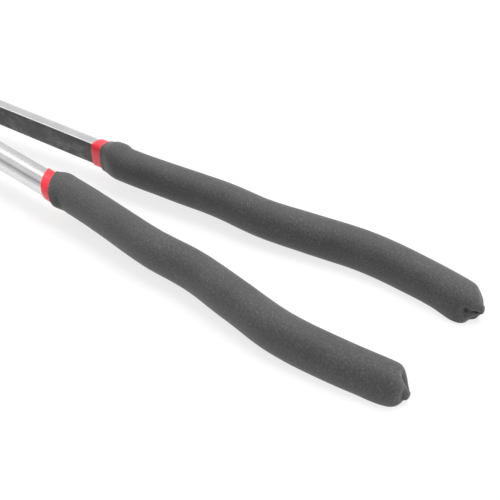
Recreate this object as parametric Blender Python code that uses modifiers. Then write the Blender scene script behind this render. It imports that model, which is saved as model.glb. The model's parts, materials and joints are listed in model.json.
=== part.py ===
"""Golf ball retriever: two long half-round levers crossing at one bolted lap joint.

Squeezing the two dipped handles closes a pair of lined round cups on a golf ball.  Both levers are
the same forging: the right one is the left one turned over about the X axis.

Row frame: origin at the middle of the pivot bolt's flat head, +Z along the pivot out of the head,
+X towards the cups, +Y towards the left handle.  The model stands with its handles a little open.
"""

import math

import bmesh
import bpy
from mathutils import Matrix, Vector

MM = 0.001
GAP = 0.3 * MM                      # clearance between separate pieces that touch

# Lever: half-round bar whose flat faces the other lever
FLAT_OFFSET = 0.4 * MM              # flat face to the pivot's centre line
SHAFT_HEIGHT = 10.2 * MM
SHAFT_DEPTH = 8.5 * MM
PIVOT_TO_GRIP = 196.3 * MM          # pivot to the front edge of the black coat
GRIP_LENGTH = 173.3 * MM            # front edge of the black coat to the tip of its drip
REST_HALF_ANGLE = math.radians(3.55)   # each lever from the tool's centre line, as it lies
HOLD_HALF_ANGLE = math.radians(2.6)    # the same with a ball held in the cups

# Handle: a slimmer oval core under two vinyl coats
CORE_DEPTH = 8.0 * MM
CORE_HEIGHT = 9.6 * MM
CORE_TIP_SETBACK = 10.0 * MM        # end of the core to the tip of the drip
CORE_CHAMFER = 1.5 * MM
NECK_STEP = 0.3 * MM                # the bar is this much smaller under the coats
NECK_LENGTH = 14.0 * MM             # behind the black edge, where bar becomes core
COAT_GAP = 0.25 * MM
RED_COAT = 0.65 * MM
RED_BAND = 5.4 * MM                 # red coat that shows ahead of the black one
BLACK_LIP = 0.45 * MM               # black coat's thickness at its front edge
SHOULDER_LENGTH = 11.0 * MM         # black coat's front edge to its full section

# Centre line of the handle: (share of the grip's length from the black edge, offset from the pivot line)
HANDLE_CURVE = [
    (0.03, 2.4 * MM),
    (0.085, 2.1 * MM),
    (0.205, 3.1 * MM),
    (0.34, 4.4 * MM),
    (0.465, 3.6 * MM),
    (0.59, 5.7 * MM),
    (0.72, 7.8 * MM),
    (0.85, 5.8 * MM),
    (0.99, 1.5 * MM),
]
# Mean radius of the black grip: (share of its length, radius)
GRIP_RADII = [
    (0.045, 6.92 * MM),
    (0.15, 6.88 * MM),
    (0.365, 7.16 * MM),
    (0.665, 7.4 * MM),
    (0.86, 7.28 * MM),
    (1.0, 7.1 * MM),
]
# Blunt end of the black grip, with the small drip that sets on it: (distance from the tip, share of size)
TIP_PROFILE = [
    (0.0 * MM, 0.08),
    (0.4 * MM, 0.18),
    (1.0 * MM, 0.26),
    (1.6 * MM, 0.38),
    (2.3 * MM, 0.56),
    (3.2 * MM, 0.73),
    (4.3 * MM, 0.84),
    (5.8 * MM, 0.92),
    (8.0 * MM, 0.97),
    (11.0 * MM, 1.0),
]
GRIP_OVAL = 0.055                   # grip is this share taller, and slimmer sideways, than round

# Lap joint
HUB_RADIUS = 14.0 * MM
HUB_RISE = 0.4 * MM                 # hub stands this far above the bar, top and bottom
LAP_CLEARANCE = 0.4 * MM            # hub of one lever to the shoulder of the other
SHOULDER_WIDTH = 4.1 * MM
SHOULDER_STEP = 0.2 * MM            # hub plate stands this far above the flanks
STOP_ANGLE = math.radians(104.0)    # end of a shoulder, from the line through the cups
FLANK_ANGLE = math.radians(127.0)   # where the shoulder leaves its arc for the bar
FLANK_LENGTH = 21.5 * MM            # shoulder's arc to where the bar has its own section
SIDE_INSET = 0.4 * MM               # the hub plate's straight sides lie this far behind the flats
BAR_OVERLAP = 4.0 * MM              # bar and jaw arm start this far inside the hub's edge
JOINT_WASHER = 0.6 * MM
JOINT_WASHER_INSET = 1.0 * MM       # washer's edge inside the hub's

# Pivot bolt, bushes, washers and nut
BOLT_RADIUS = 4.0 * MM
BOLT_HEAD_HEIGHT = 3.6 * MM
HEX_ACROSS_FLATS = 13.0 * MM
BUSH_WALL = 1.0 * MM
WASHER_RADIUS = 8.0 * MM
WASHER_THICKNESS = 1.0 * MM
SPRING_WASHER_THICKNESS = 0.9 * MM
SPRING_WASHER_DISH = 0.6 * MM
NUT_HEIGHT = 4.6 * MM
NUT_COLLAR_HEIGHT = 1.8 * MM
NUT_COLLAR_WALL = 0.4 * MM
INSERT_WALL = 0.7 * MM
INSERT_HEIGHT = 1.2 * MM
BOLT_END = 0.8 * MM                 # bolt standing out of the nut

# Cups
BALL_RADIUS = 21.335 * MM           # the smallest golf ball allowed is 42.67 mm across
BALL_CENTRE = 84.0 * MM             # pivot to the middle of a held ball
BALL_EASE = 0.3 * MM                # lining stands this far off a centred ball
LINING = 2.65 * MM
CUP_WALL = 1.6 * MM
CUP_HALF_ANGLE = math.radians(64.0)
CUP_FLAT_RADIUS = 9.5 * MM          # flat seat stamped in the back of the cup
LINING_ANGLES = (math.radians(45.0), math.radians(59.5))
TRIM_WALL = 1.1 * MM
TRIM_OUTER_START = math.radians(58.5)
TRIM_INNER_START = math.radians(61.5)
TRIM_SLOT_END = math.radians(64.8)
TRIM_CREST = math.radians(67.4)
DRAIN_RADIUS = 2.75 * MM
DRAIN_POLAR = math.radians(33.5)
DRAIN_AZIMUTHS = [math.radians(a) for a in (45, 90, 135, 225, 270, 315)]

# Jaw arm and the rivets that hold the cup on it
JAW_ROOT_REACH = 30.0 * MM          # how straight the arm leaves the hub
JAW_SPADE_REACH = 20.0 * MM         # how straight it runs into the spade
SPADE_DEPTH = 4.0 * MM
SPADE_HEIGHT = 14.0 * MM
SPADE_REACH = 12.0 * MM             # spade ahead of the middle of the cup
SPADE_START = 13.0 * MM             # spade behind the middle of the cup
RIVET_SPACING = 11.0 * MM
RIVET_RADIUS = 1.5 * MM
RIVET_HEAD_RADIUS = 3.1 * MM
RIVET_HEAD_HEIGHT = 1.7 * MM
RIVET_TAIL_RADIUS = 2.6 * MM
RIVET_TAIL_HEIGHT = 0.8 * MM

# Facets
SECTION_SIDES = 16
ROUND_SIDES = 24
SMALL_SIDES = 12
CUP_SIDES = 32
FIRST_STATION = 2.5 * MM            # first ring of a handle behind the black edge
LAST_STATION = 12.0 * MM

# Worked out from the sizes above
HUB_HEIGHT = SHAFT_HEIGHT + 2 * HUB_RISE
LAP_GAP = JOINT_WASHER + 2 * GAP
LAP_TOP = HUB_HEIGHT / 2
LAP_BOTTOM = LAP_GAP / 2
MID_PLANE = -(BOLT_HEAD_HEIGHT + GAP + WASHER_THICKNESS + GAP + HUB_HEIGHT / 2)
BORE_RADIUS = BOLT_RADIUS + GAP     # hole that clears the bolt
BUSH_RADIUS = BORE_RADIUS + BUSH_WALL
HUB_BORE_RADIUS = BUSH_RADIUS + GAP
RECESS_RADIUS = HUB_RADIUS + LAP_CLEARANCE
SHOULDER_RADIUS = RECESS_RADIUS + SHOULDER_WIDTH
FLANK_START = -SHOULDER_RADIUS * math.cos(FLANK_ANGLE)
FLANK_OUT = SHOULDER_RADIUS * math.sin(FLANK_ANGLE)
FLANK_END = SHOULDER_RADIUS + FLANK_LENGTH
BAR_START = HUB_RADIUS - BAR_OVERLAP
NUT_COLLAR_RADIUS = BORE_RADIUS + INSERT_WALL + GAP + NUT_COLLAR_WALL
TIP_DISTANCE = PIVOT_TO_GRIP + GRIP_LENGTH
CORE_END = TIP_DISTANCE - CORE_TIP_SETBACK
LINING_IN = BALL_RADIUS + BALL_EASE
LINING_OUT = LINING_IN + LINING
CUP_IN = LINING_OUT + GAP
CUP_OUT = CUP_IN + CUP_WALL
CUP_SEAT = math.sqrt(CUP_OUT ** 2 - CUP_FLAT_RADIUS ** 2)     # cup's middle to its flat back
SPADE_FACE = CUP_SEAT + GAP

STEEL = ("plated_steel", (0.72, 0.72, 0.73), 0.25, 1.0)
CUP_STEEL = ("cup_steel", (0.66, 0.67, 0.68), 0.3, 1.0)
BLACK = ("black_vinyl", (0.075, 0.075, 0.075), 0.75, 0.0)
RED = ("red_vinyl", (0.78, 0.03, 0.05), 0.4, 0.0)
ZINC = ("zinc_hardware", (0.62, 0.63, 0.64), 0.35, 1.0)
BRONZE = ("bronze", (0.55, 0.36, 0.16), 0.4, 1.0)
NYLON = ("nylon", (0.10, 0.17, 0.45), 0.5, 0.0)


def new_collection(name):
    collection = bpy.data.collections.new(name)
    bpy.context.scene.collection.children.link(collection)
    return collection


def material(spec):
    name, colour, roughness, metallic = spec
    found = bpy.data.materials.get(name)
    if found:
        return found
    made = bpy.data.materials.new(name)
    made.use_nodes = True
    shader = made.node_tree.nodes["Principled BSDF"]
    shader.inputs["Base Color"].default_value = (*colour, 1.0)
    shader.inputs["Roughness"].default_value = roughness
    shader.inputs["Metallic"].default_value = metallic
    return made


def work_object(name, mesh):
    """A construction object in the cutters' collection, hidden from renders."""
    made = bpy.data.objects.new(name, mesh)
    made.hide_render = True
    made.display_type = "WIRE"
    bpy.data.collections["cutters"].objects.link(made)
    return made


def part(name, mesh, spec, parent):
    """One named sub-part, shaded smooth up to its sharp edges."""
    mesh.materials.clear()
    mesh.materials.append(material(spec))
    mesh.shade_smooth()
    mesh.set_sharp_from_angle(angle=math.radians(32.0))
    made = bpy.data.objects.new(name, mesh)
    made.parent = parent
    bpy.data.collections["golf_ball_retriever"].objects.link(made)
    return made


def frame_empty(name, matrix, parent=None):
    made = bpy.data.objects.new(name, None)
    made.parent = parent
    made.matrix_local = matrix
    bpy.data.collections["golf_ball_retriever"].objects.link(made)
    return made


def mesh_from(name, build):
    """A mesh whose faces point out, from a function that fills a bmesh."""
    bm = bmesh.new()
    build(bm)
    bmesh.ops.recalc_face_normals(bm, faces=bm.faces)
    mesh = bpy.data.meshes.new(name)
    bm.to_mesh(mesh)
    bm.free()
    return mesh


def finished(obj):
    """The object's mesh with its modifiers applied."""
    bpy.context.view_layer.update()
    evaluated = obj.evaluated_get(bpy.context.evaluated_depsgraph_get())
    return bpy.data.meshes.new_from_object(evaluated)


def boolean(obj, tool, operation):
    step = obj.modifiers.new(operation.lower(), "BOOLEAN")
    step.operation = operation
    step.object = tool


def cylinder(radius, low, high, sides=ROUND_SIDES, matrix=Matrix.Identity(4)):
    """A closed cylinder along Z from low to high."""
    def build(bm):
        middle = matrix @ Matrix.Translation((0, 0, (low + high) / 2))
        bmesh.ops.create_cone(bm, cap_ends=True, segments=sides, radius1=radius, radius2=radius,
                              depth=high - low, matrix=middle)
    return mesh_from("cylinder", build)


def turned(name, profile, sides, closed):
    """A profile of (radius, height) points turned about Z; an open profile starts and ends on the axis."""
    mesh = bpy.data.meshes.new(name)
    edges = [(i, i + 1) for i in range(len(profile) - 1)]
    if closed:
        edges.append((len(profile) - 1, 0))
    mesh.from_pydata([(radius, 0.0, height) for radius, height in profile], edges, [])
    obj = work_object(name, mesh)
    screw = obj.modifiers.new("turn", "SCREW")
    screw.steps = sides
    screw.render_steps = sides
    screw.use_merge_vertices = True
    screw.merge_threshold = 0.00001
    made = finished(obj)
    bpy.data.objects.remove(obj)
    bm = bmesh.new()
    bm.from_mesh(made)
    bmesh.ops.recalc_face_normals(bm, faces=bm.faces)
    bm.to_mesh(made)
    bm.free()
    return made


def ring(inner, outer, low, high, sides=ROUND_SIDES):
    """A plain bush or washer about Z."""
    corners = [(inner, high), (outer, high), (outer, low), (inner, low)]
    return turned("ring", corners, sides, closed=True)


def plate(name, outline, height):
    """A flat outline in XY made into a closed plate, half above and half below the XY plane."""
    curve = bpy.data.curves.new(name, "CURVE")
    curve.dimensions = "2D"
    curve.fill_mode = "BOTH"
    curve.extrude = height / 2
    spline = curve.splines.new("POLY")
    spline.points.add(len(outline) - 1)
    for point, (x, y) in zip(spline.points, outline):
        point.co = (x, y, 0.0, 1.0)
    spline.use_cyclic_u = True
    obj = work_object(name, curve)
    mesh = finished(obj)
    bpy.data.objects.remove(obj)
    bm = bmesh.new()
    bm.from_mesh(mesh)
    bmesh.ops.remove_doubles(bm, verts=bm.verts, dist=0.000001)
    bmesh.ops.recalc_face_normals(bm, faces=bm.faces)
    bm.to_mesh(mesh)
    bm.free()
    return mesh


def skin(name, rings):
    """A closed tube through rings of points, with a flat cap at each end."""
    def build(bm):
        rows = [[bm.verts.new(point) for point in loop] for loop in rings]
        count = len(rows[0])
        for near, far in zip(rows, rows[1:]):
            for i in range(count):
                j = (i + 1) % count
                bm.faces.new((near[i], near[j], far[j], far[i]))
        bm.faces.new(rows[0])
        bm.faces.new(rows[-1])
    return mesh_from(name, build)


def through(points, x):
    """Smooth curve through (x, y) points: the height at x, level beyond both ends."""
    if x <= points[0][0]:
        return points[0][1]
    if x >= points[-1][0]:
        return points[-1][1]
    i = max(k for k in range(len(points) - 1) if points[k][0] <= x)

    def slope(k):
        before = points[max(k - 1, 0)]
        after = points[min(k + 1, len(points) - 1)]
        return (after[1] - before[1]) / (after[0] - before[0])

    (x0, y0), (x1, y1) = points[i], points[i + 1]
    span = x1 - x0
    t = (x - x0) / span
    rise = (2 * t ** 3 - 3 * t ** 2 + 1) * y0 + (3 * t ** 2 - 2 * t ** 3) * y1
    lean = (t ** 3 - 2 * t ** 2 + t) * slope(i) + (t ** 3 - t ** 2) * slope(i + 1)
    return rise + lean * span


def ease(t):
    t = min(max(t, 0.0), 1.0)
    return t * t * (3 - 2 * t)


def mix(a, b, t):
    return a + (b - a) * t


class Section:
    """A bar's cross-section: flat-sided towards the other lever where power_in is high."""

    def __init__(self, inner, outer, half_height, power_in, power_out):
        self.inner = inner
        self.outer = outer
        self.half_height = half_height
        self.power_in = power_in
        self.power_out = power_out

    def grown(self, amount):
        return Section(self.inner + amount, self.outer + amount, self.half_height + amount,
                       self.power_in, self.power_out)

    def scaled(self, factor):
        return Section(self.inner * factor, self.outer * factor, self.half_height * factor,
                       self.power_in, self.power_out)

    def mixed(self, other, t):
        return Section(mix(self.inner, other.inner, t), mix(self.outer, other.outer, t),
                       mix(self.half_height, other.half_height, t),
                       mix(self.power_in, other.power_in, t),
                       mix(self.power_out, other.power_out, t))

    def placed(self, centre, out):
        """The section's loop of points; out is the unit direction away from the other lever."""
        loop = []
        for k in range(SECTION_SIDES):
            angle = 2 * math.pi * k / SECTION_SIDES
            c, s = math.cos(angle), math.sin(angle)
            side, power = (self.outer, self.power_out) if c >= 0 else (-self.inner, self.power_in)
            u = side * abs(c) ** (2 / power)
            v = math.copysign(abs(s) ** (2 / power), s) * self.half_height
            loop.append((centre[0] + out[0] * u, centre[1] + out[1] * u, v))
        return loop


BAR = Section(1.0 * MM, SHAFT_DEPTH - 1.0 * MM, SHAFT_HEIGHT / 2, 7.0, 2.2)
BAR_CENTRE = FLAT_OFFSET + BAR.inner
CORE = Section(CORE_DEPTH / 2, CORE_DEPTH / 2, CORE_HEIGHT / 2, 2.4, 2.4)


def grip_share(back):
    return (back - PIVOT_TO_GRIP) / GRIP_LENGTH


def grip_line(back):
    """Centre line of the handle, from the bar's centre under the coats to the drip."""
    blend = ease((back - PIVOT_TO_GRIP) / NECK_LENGTH)
    return mix(BAR_CENTRE, through(HANDLE_CURVE, grip_share(back)), blend)


def on_handle(back, section):
    """The section's loop at a distance behind the pivot, square to the handle's centre line."""
    step = 0.5 * MM
    lean = (grip_line(back + step) - grip_line(back - step)) / (2 * step)
    length = math.hypot(1.0, lean)
    return section.placed((-back, grip_line(back)), (lean / length, 1.0 / length))


def core_section(back):
    """Steel under the coats: the bar, a step smaller, easing into the oval core."""
    under = BAR.grown(-NECK_STEP)
    return under.mixed(CORE, ease((back - PIVOT_TO_GRIP) / NECK_LENGTH))


def grip_section(back):
    """Outside of the black coat: a thin lip over the bar that swells to the full oval grip."""
    radius = through(GRIP_RADII, grip_share(back))
    oval = Section(radius * (1 - GRIP_OVAL), radius * (1 - GRIP_OVAL), radius * (1 + GRIP_OVAL), 2.3, 2.3)
    lip = core_section(back).grown(COAT_GAP + RED_COAT + COAT_GAP + BLACK_LIP)
    return lip.mixed(oval, ease((back - PIVOT_TO_GRIP) / SHOULDER_LENGTH))


def stations(front, end):
    """Distances behind the pivot where a handle's rings lie, the same for the steel and both coats."""
    inner = []
    back = PIVOT_TO_GRIP
    step = FIRST_STATION
    while back < end - FIRST_STATION / 2:
        if back > front:
            inner.append(back)
        back += step
        step = min(step * 1.35, LAST_STATION)
    return [front] + inner + [end]


def offset_rings(front, clearance):
    """Rings of the core's surface moved out by a clearance, from a distance back to its end."""
    rings = [on_handle(back, core_section(back).grown(clearance))
             for back in stations(front, CORE_END - CORE_CHAMFER)]
    rings.append(on_handle(CORE_END + clearance, CORE.grown(clearance - CORE_CHAMFER)))
    return rings


def flared(section, centre, distance):
    """A bar's section where it widens and squares up into the hub's shoulder."""
    half_height = HUB_HEIGHT / 2 - SHOULDER_STEP
    root = Section(section.inner, FLANK_OUT - centre, half_height, section.power_in, 7.0)
    return section.mixed(root, ease((FLANK_END - distance) / (FLANK_END - FLANK_START)))


def flank_distances():
    """Distances from the pivot of the rings between the hub's inside and the plain bar."""
    steps = 7
    spread = [mix(FLANK_START, FLANK_END, k / steps) for k in range(steps + 1)]
    return [BAR_START] + spread


def handle_steel():
    """The bar and its core as one loft, from inside the hub to the handle's end."""
    bar = [flared(BAR, BAR_CENTRE, back).placed((-back, BAR_CENTRE), (0.0, 1.0))
           for back in flank_distances()]
    bar.append(BAR.placed((RED_BAND + GAP - PIVOT_TO_GRIP, BAR_CENTRE), (0.0, 1.0)))
    return skin("handle_steel", bar + offset_rings(PIVOT_TO_GRIP - RED_BAND, 0.0))


def red_coat():
    front = PIVOT_TO_GRIP - RED_BAND
    outside = offset_rings(front, COAT_GAP + RED_COAT)
    return skin("red_coat", outside[::-1] + offset_rings(front, COAT_GAP))


def black_coat():
    """The outer coat: a thin lip, the swelling grip, a rounded end and the drip on it."""
    rings = []
    for from_tip, size in TIP_PROFILE:
        back = TIP_DISTANCE - from_tip
        rings.append(on_handle(back, grip_section(back).scaled(size)))
    shoulder = TIP_DISTANCE - TIP_PROFILE[-1][0]
    rings += [on_handle(back, grip_section(back)) for back in reversed(stations(PIVOT_TO_GRIP, shoulder)[:-1])]
    rings += offset_rings(PIVOT_TO_GRIP, COAT_GAP + RED_COAT + COAT_GAP)
    return skin("black_coat", rings)


def hub_outline():
    """The hub plate seen from above: a disc, with a shoulder at the root of each arm."""
    side = FLAT_OFFSET + SIDE_INSET
    half = []
    disc_start = -math.asin(side / HUB_RADIUS)
    for k in range(13):
        angle = mix(disc_start, STOP_ANGLE, k / 12)
        half.append((HUB_RADIUS * math.cos(angle), HUB_RADIUS * math.sin(angle)))
    for k in range(5):
        angle = mix(STOP_ANGLE, FLANK_ANGLE, k / 4)
        half.append((SHOULDER_RADIUS * math.cos(angle), SHOULDER_RADIUS * math.sin(angle)))
    half.append((-FLANK_START, side))
    return half + [(-x, -y) for x, y in half]


def jaw_line(t):
    """Centre line of the jaw arm: out of the hub, round the ball and along the back of the cup."""
    hold = Matrix.Rotation(HOLD_HALF_ANGLE, 2)
    root = Vector((FLANK_START, -FLAT_OFFSET - SHAFT_DEPTH / 2))
    spade = hold @ Vector((BALL_CENTRE - SPADE_START, -SPADE_FACE - SPADE_DEPTH / 2))
    along = hold @ Vector((1.0, 0.0))
    a, b = root + Vector((JAW_ROOT_REACH, 0.0)), spade - along * JAW_SPADE_REACH
    return root * (1 - t) ** 3 + a * 3 * t * (1 - t) ** 2 + b * 3 * t * t * (1 - t) + spade * t ** 3


def jaw_steel():
    """The arm from inside the hub to the rounded end of the spade."""
    root = Section(SHAFT_DEPTH / 2, SHAFT_DEPTH / 2, SHAFT_HEIGHT / 2, 6.0, 2.6)
    spade = Section(SPADE_DEPTH / 2, SPADE_DEPTH / 2, SPADE_HEIGHT / 2, 7.0, 7.0)
    hold = Matrix.Rotation(HOLD_HALF_ANGLE, 2)
    start = jaw_line(0.0)
    rings = [flared(root, -start.y, BAR_START).placed((BAR_START, start.y), (0.0, -1.0))]
    steps = 14
    for k in range(steps + 1):
        t = k / steps
        ahead = (jaw_line(min(t + 0.01, 1.0)) - jaw_line(max(t - 0.01, 0.0))).normalized()
        bar = flared(root.mixed(spade, ease(t)), -start.y, jaw_line(t).x)
        rings.append(bar.placed(jaw_line(t), (ahead.y, -ahead.x)))
    length = SPADE_START + SPADE_REACH
    out = hold @ Vector((0.0, -1.0))
    along = hold @ Vector((1.0, 0.0))
    for k in range(1, 6):
        turn = math.pi / 2 * k / 5
        ahead = length - SPADE_HEIGHT / 2 * (1 - 0.98 * math.sin(turn))
        end = Section(spade.inner, spade.outer, spade.half_height * max(math.cos(turn), 0.2), 7.0, 7.0)
        if k == 1:
            rings.append(spade.placed(jaw_line(1.0) + along * (length - SPADE_HEIGHT / 2), out))
        rings.append(end.placed(jaw_line(1.0) + along * ahead, out))
    return skin("jaw_steel", rings)


def cup_matrix():
    """From the cup's own frame (Z out of its back, X towards the tool's front) to the lever's."""
    hold = Matrix.Rotation(HOLD_HALF_ANGLE, 4, "Z")
    middle = Matrix.Translation((BALL_CENTRE, 0.0, 0.0))
    return hold @ middle @ Matrix.Rotation(math.pi / 2, 4, "X")


def rivet_places():
    half = RIVET_SPACING / 2
    return {"rear": Vector((-half, 0.0, 0.0)), "front": Vector((half, 0.0, 0.0))}


def lever_mesh():
    """One forging: handle core, half-round bar, half-lap hub, jaw arm and riveting spade."""
    lever = work_object("lever_blank", handle_steel())
    tools = [("UNION", plate("hub_plate", hub_outline(), HUB_HEIGHT)), ("UNION", jaw_steel())]
    reach = HUB_HEIGHT
    tools.append(("DIFFERENCE", cylinder(RECESS_RADIUS, -reach, LAP_BOTTOM, sides=48)))
    tools.append(("DIFFERENCE", cylinder(HUB_BORE_RADIUS, -reach, reach)))
    for place in rivet_places().values():
        hole = cup_matrix() @ Matrix.Translation(place)
        low, high = SPADE_FACE - 2 * MM, SPADE_FACE + SPADE_DEPTH + 2 * MM
        tools.append(("DIFFERENCE", cylinder(RIVET_RADIUS + GAP, low, high, SMALL_SIDES, hole)))
    for operation, mesh in tools:
        boolean(lever, work_object("lever_tool", mesh), operation)
    return finished(lever)


def on_sphere(radius, polar):
    return (radius * math.sin(polar), radius * math.cos(polar))


def cup_mesh():
    """A stamped round cup with a flat back, drain holes and rivet holes."""
    steps = 5
    seat = math.asin(CUP_FLAT_RADIUS / CUP_OUT)
    inner_seat = CUP_SEAT - CUP_WALL
    inner_angle = math.acos(inner_seat / CUP_IN)
    profile = [(0.0, CUP_SEAT)]
    profile += [on_sphere(CUP_OUT, mix(seat, CUP_HALF_ANGLE, k / steps)) for k in range(steps + 1)]
    profile += [on_sphere(CUP_IN, mix(CUP_HALF_ANGLE, inner_angle, k / steps)) for k in range(steps + 1)]
    profile.append((0.0, inner_seat))
    cup = work_object("cup_blank", turned("cup", profile, CUP_SIDES, closed=False))
    for azimuth in DRAIN_AZIMUTHS:
        aim = Matrix.Rotation(azimuth, 4, "Z") @ Matrix.Rotation(DRAIN_POLAR, 4, "Y")
        drill = cylinder(DRAIN_RADIUS, CUP_IN - 3 * MM, CUP_OUT + 3 * MM, SMALL_SIDES, aim)
        boolean(cup, work_object("drain_tool", drill), "DIFFERENCE")
    for place in rivet_places().values():
        drill = cylinder(RIVET_RADIUS + GAP, CUP_SEAT - 4 * MM, CUP_SEAT + 2 * MM, SMALL_SIDES,
                         Matrix.Translation(place))
        boolean(cup, work_object("rivet_tool", drill), "DIFFERENCE")
    return finished(cup)


def lining_mesh():
    """The soft band inside the cup that bears on the ball."""
    steps = 2
    low, high = LINING_ANGLES
    profile = [on_sphere(LINING_OUT, mix(low, high, k / steps)) for k in range(steps + 1)]
    profile += [on_sphere(LINING_IN, mix(high, low, k / steps)) for k in range(steps + 1)]
    return turned("lining", profile, CUP_SIDES, closed=True)


def trim_mesh():
    """The soft channel pushed over the cup's rim."""
    out, into = CUP_OUT + GAP, CUP_IN - GAP
    crest = (TRIM_SLOT_END + TRIM_CREST) / 2
    profile = [
        on_sphere(out, TRIM_OUTER_START),
        on_sphere(out + TRIM_WALL * 0.8, TRIM_OUTER_START),
        on_sphere(out + TRIM_WALL, TRIM_INNER_START),
        on_sphere(out + TRIM_WALL, crest),
        on_sphere(out + TRIM_WALL / 4, TRIM_CREST),
        on_sphere(into - TRIM_WALL / 4, TRIM_CREST),
        on_sphere(into - TRIM_WALL, crest),
        on_sphere(into - TRIM_WALL, TRIM_INNER_START),
        on_sphere(into, TRIM_INNER_START),
        on_sphere(into, TRIM_SLOT_END),
        on_sphere(out, TRIM_SLOT_END),
    ]
    return turned("trim", profile, CUP_SIDES, closed=True)


def rivet_mesh():
    """A rivet on the cup's axis: domed head on the spade, low tail inside the cup."""
    head = SPADE_FACE + SPADE_DEPTH + GAP
    tail = CUP_SEAT - CUP_WALL - GAP
    profile = [(0.0, head + RIVET_HEAD_HEIGHT)]
    for k in range(1, 4):
        turn = math.pi / 2 * k / 4
        profile.append((RIVET_HEAD_RADIUS * math.sin(turn), head + RIVET_HEAD_HEIGHT * math.cos(turn)))
    profile += [(RIVET_HEAD_RADIUS, head), (RIVET_RADIUS, head), (RIVET_RADIUS, tail)]
    profile += [(RIVET_TAIL_RADIUS, tail), (RIVET_TAIL_RADIUS - 0.4 * MM, tail - RIVET_TAIL_HEIGHT)]
    profile.append((0.0, tail - RIVET_TAIL_HEIGHT))
    return turned("rivet", profile, SMALL_SIDES, closed=False)


def pivot_levels():
    """Heights down the pivot stack, from the bolt's head at z = 0."""
    head = -BOLT_HEAD_HEIGHT
    washer = head - GAP
    hub = washer - WASHER_THICKNESS - GAP
    spring = hub - HUB_HEIGHT - GAP
    nut = spring - SPRING_WASHER_THICKNESS - SPRING_WASHER_DISH - GAP
    collar = nut - NUT_HEIGHT
    end = collar - NUT_COLLAR_HEIGHT
    return {"head": head, "washer": washer, "spring": spring, "nut": nut, "collar": collar, "end": end}


def bolt_mesh(levels):
    corner = HEX_ACROSS_FLATS / math.sqrt(3)
    bolt = work_object("bolt_blank", cylinder(corner, levels["head"], 0.0, sides=6))
    shank = cylinder(BOLT_RADIUS, levels["end"] - BOLT_END, levels["head"] / 2)
    boolean(bolt, work_object("shank", shank), "UNION")
    return finished(bolt)


def nut_mesh(levels):
    """A hexagon nut with a round collar that holds the locking ring."""
    corner = HEX_ACROSS_FLATS / math.sqrt(3)
    nut = work_object("nut_blank", cylinder(corner, levels["collar"], levels["nut"], sides=6))
    collar = cylinder(NUT_COLLAR_RADIUS, levels["end"], levels["collar"] + 1 * MM)
    boolean(nut, work_object("collar", collar), "UNION")
    bore = cylinder(BORE_RADIUS, levels["end"] - 1 * MM, levels["nut"] + 1 * MM)
    boolean(nut, work_object("nut_bore", bore), "DIFFERENCE")
    groove = cylinder(BORE_RADIUS + INSERT_WALL + GAP, levels["end"] - 1 * MM,
                      levels["end"] + INSERT_HEIGHT + GAP)
    boolean(nut, work_object("insert_groove", groove), "DIFFERENCE")
    return finished(nut)


def spring_washer_mesh(levels):
    """A dished washer, high at its bore."""
    top = levels["spring"]
    thick, dish = SPRING_WASHER_THICKNESS, SPRING_WASHER_DISH
    corners = [(BORE_RADIUS, top), (WASHER_RADIUS, top - dish),
               (WASHER_RADIUS, top - dish - thick), (BORE_RADIUS, top - thick)]
    return turned("spring_washer", corners, ROUND_SIDES, closed=True)


def build_sides():
    """Both levers with what is fastened to them; the right side is the left one turned over."""
    meshes = {
        "lever": (lever_mesh(), STEEL),
        "grip_base": (red_coat(), RED),
        "grip_cover": (black_coat(), BLACK),
        "pivot_bush": (ring(BORE_RADIUS, BUSH_RADIUS, LAP_BOTTOM, LAP_TOP), BRONZE),
    }
    cup_meshes = {
        "cup": (cup_mesh(), CUP_STEEL),
        "cup_lining": (lining_mesh(), BLACK),
        "cup_trim": (trim_mesh(), RED),
    }
    rivet_solid = rivet_mesh()
    middle = Matrix.Translation((0.0, 0.0, MID_PLANE))
    turned_over = Matrix.Rotation(math.pi, 4, "X")
    poses = {
        "left": middle @ Matrix.Rotation(-REST_HALF_ANGLE, 4, "Z"),
        "right": middle @ Matrix.Rotation(REST_HALF_ANGLE, 4, "Z") @ turned_over,
    }
    for side, pose in poses.items():
        lever_frame = frame_empty("lever_frame_" + side, pose)
        cup_frame = frame_empty("cup_frame_" + side, cup_matrix(), lever_frame)
        for name, (mesh, spec) in meshes.items():
            part(name + "_" + side, mesh, spec, lever_frame)
        for name, (mesh, spec) in cup_meshes.items():
            part(name + "_" + side, mesh, spec, cup_frame)
        for name, place in rivet_places().items():
            rivet = part("cup_rivet_" + name + "_" + side, rivet_solid, ZINC, cup_frame)
            rivet.location = place


def build_pivot():
    """The bolt, its washers and the locking nut."""
    levels = pivot_levels()
    frame = frame_empty("pivot_frame", Matrix.Identity(4))
    part("pivot_bolt", bolt_mesh(levels), ZINC, frame)
    washer_top = levels["washer"]
    part("head_washer", ring(BORE_RADIUS, WASHER_RADIUS, washer_top - WASHER_THICKNESS, washer_top),
         ZINC, frame)
    half = JOINT_WASHER / 2
    washer_edge = HUB_RADIUS - JOINT_WASHER_INSET
    part("joint_washer", ring(BORE_RADIUS, washer_edge, MID_PLANE - half, MID_PLANE + half),
         BRONZE, frame)
    part("spring_washer", spring_washer_mesh(levels), ZINC, frame)
    part("pivot_nut", nut_mesh(levels), ZINC, frame)
    low = levels["end"]
    insert = ring(BORE_RADIUS, BORE_RADIUS + INSERT_WALL, low, low + INSERT_HEIGHT)
    part("nut_lock_ring", insert, NYLON, frame)


def main():
    for old in list(bpy.data.objects):
        bpy.data.objects.remove(old)
    new_collection("golf_ball_retriever")
    new_collection("cutters")
    build_sides()
    build_pivot()


main()
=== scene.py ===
"""Looks of the golf ball retriever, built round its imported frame.

Both levers are the same forging, turned over for the right side, so the pieces are modelled in the
lever's own frame: origin on the pivot, +X towards the cups, +Y away from the other handle. Only the
dipped coats differ from side to side.
"""

import json
import math

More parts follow.
